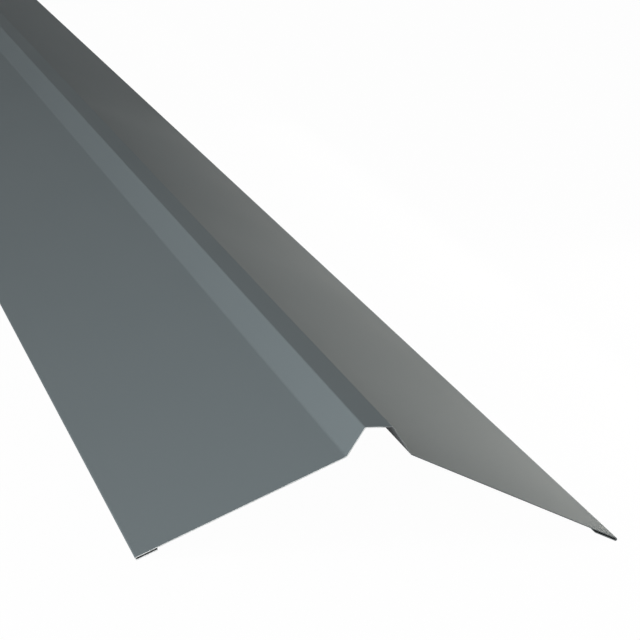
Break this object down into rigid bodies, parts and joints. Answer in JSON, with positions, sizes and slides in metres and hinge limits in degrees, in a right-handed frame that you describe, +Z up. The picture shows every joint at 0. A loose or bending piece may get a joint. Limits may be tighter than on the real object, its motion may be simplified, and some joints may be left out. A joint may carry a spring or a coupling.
{
  "type": "roof ridge cap",
  "caption": "Folded steel ridge cap with sloping wings, a raised rib along the middle and hemmed long edges, for covering the joint at a roof's peak.",
  "frame": {"origin": "midway between the two hemmed edges and midway along the length, at the level that the hems rest on", "axes": "+Y along the length and the rib, +X across the width, +Z up through the rib"},
  "size_m": [0.242, 3, 0.0623],
  "materials": {
    "coated_steel": "smooth matt blue-grey coil coating, with bare zinc and steel on the cut edges"
  },
  "bodies": {
    "root": {"ridge_cap": "coated_steel"}
  },
  "joints": []
}
